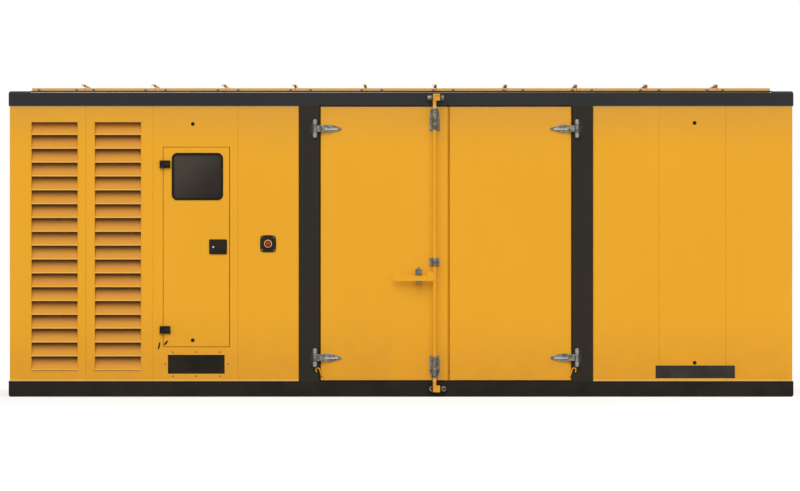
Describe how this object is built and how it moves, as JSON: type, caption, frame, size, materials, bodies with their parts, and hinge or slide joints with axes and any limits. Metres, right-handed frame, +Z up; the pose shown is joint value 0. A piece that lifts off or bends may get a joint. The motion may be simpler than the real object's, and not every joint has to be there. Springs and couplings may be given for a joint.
{
  "type": "enclosed diesel generator",
  "caption": "Long steel generator enclosure with louvres, outward double doors with a lock rod, a control cabinet door with a window and an emergency stop.",
  "frame": {"origin": "bottom centre of the whole enclosure, on the ground", "axes": "+X to the right along the long front, -Y out of the front with the double doors, +Z up"},
  "size_m": [6.058, 2.586, 2.406],
  "materials": {
    "yellow_paint": "satin powder coat",
    "black_paint": "satin black paint",
    "deck_steel": "worn dark deck paint",
    "galvanised": "dull hot-dip zinc",
    "black_rubber": "matt black rubber",
    "tinted_glass": "dark tinted",
    "black_plastic": "moulded black",
    "yellow_plastic": "moulded amber",
    "red_plastic": "moulded red"
  },
  "bodies": {
    "enclosure": {"front_louvre_panels": "yellow_paint", "front_louvres": "yellow_paint", "back_panels": "yellow_paint", "back_louvres": "yellow_paint", "control_panel": "yellow_paint", "stop_panel": "yellow_paint", "front_side_panels": "yellow_paint", "left_end_panels": "yellow_paint", "left_end_louvres": "yellow_paint", "right_end_panels": "yellow_paint", "roof_covers": "yellow_paint", "roof_seams": "yellow_paint", "back_doors": "yellow_paint", "base_rails": "black_paint", "base_cross_members": "black_paint", "top_frame": "black_paint", "top_corner_blocks": "black_paint", "doorway_frames": "black_paint", "corner_posts": "black_paint", "floor_deck": "deck_steel", "doorway_seal": "black_rubber", "hinge_plates": "galvanised", "rod_keepers": "galvanised", "back_door_fittings": "galvanised", "control_hinge_blocks": "black_plastic", "stop_plate": "black_plastic", "stop_collar": "yellow_plastic", "cable_entry_plate": "black_rubber"},
    "left_door": {"left_door_leaf": "yellow_paint", "door_edge_seal": "black_rubber", "left_hinge_straps": "galvanised", "rod_guides": "galvanised"},
    "right_door": {"right_door_leaf": "yellow_paint", "right_hinge_straps": "galvanised"},
    "lock_rod": {"lock_rod": "yellow_paint", "rod_cams": "yellow_paint", "lock_handle": "yellow_paint"},
    "handle_catch": {"handle_catch": "galvanised"},
    "control_door": {"control_door": "yellow_paint", "window_gasket": "black_rubber", "window_glass": "tinted_glass", "control_hinge_leaves": "black_plastic", "control_latch": "black_plastic"},
    "latch_paddle": {"latch_paddle": "black_plastic"},
    "stop_button": {"stop_button": "red_plastic"}
  },
  "joints": [
    {"name": "left_door_swing", "type": "hinge", "parent": "enclosure", "child": "left_door", "pos_m": [-0.664, -1.237, 1.2], "axis": [0, 0, -1], "range_deg": [0, 165]},
    {"name": "right_door_swing", "type": "hinge", "parent": "enclosure", "child": "right_door", "pos_m": [1.357, -1.237, 1.2], "axis": [0, 0, 1], "range_deg": [0, 165]},
    {"name": "lock_rod_turn", "type": "hinge", "parent": "left_door", "child": "lock_rod", "pos_m": [0.259, -1.271, 1.2], "axis": [0, 0, 1], "range_deg": [0, 90]},
    {"name": "handle_catch_swing", "type": "hinge", "parent": "left_door", "child": "handle_catch", "pos_m": [0.136, -1.285, 0.974], "axis": [0, 1, 0], "range_deg": [0, 90]},
    {"name": "control_door_swing", "type": "hinge", "parent": "enclosure", "child": "control_door", "pos_m": [-1.833, -1.223, 1.155], "axis": [0, 0, -1], "range_deg": [0, 120]},
    {"name": "latch_paddle_pull", "type": "hinge", "parent": "control_door", "child": "latch_paddle", "pos_m": [-1.356, -1.2195, 1.157], "axis": [0, 0, 1], "range_deg": [0, 45], "stiffness_Nm_per_rad": 0.2},
    {"name": "stop_button_press", "type": "slide", "parent": "enclosure", "child": "stop_button", "axis": [0, 1, 0], "range_m": [0, 0.005]}
  ]
}
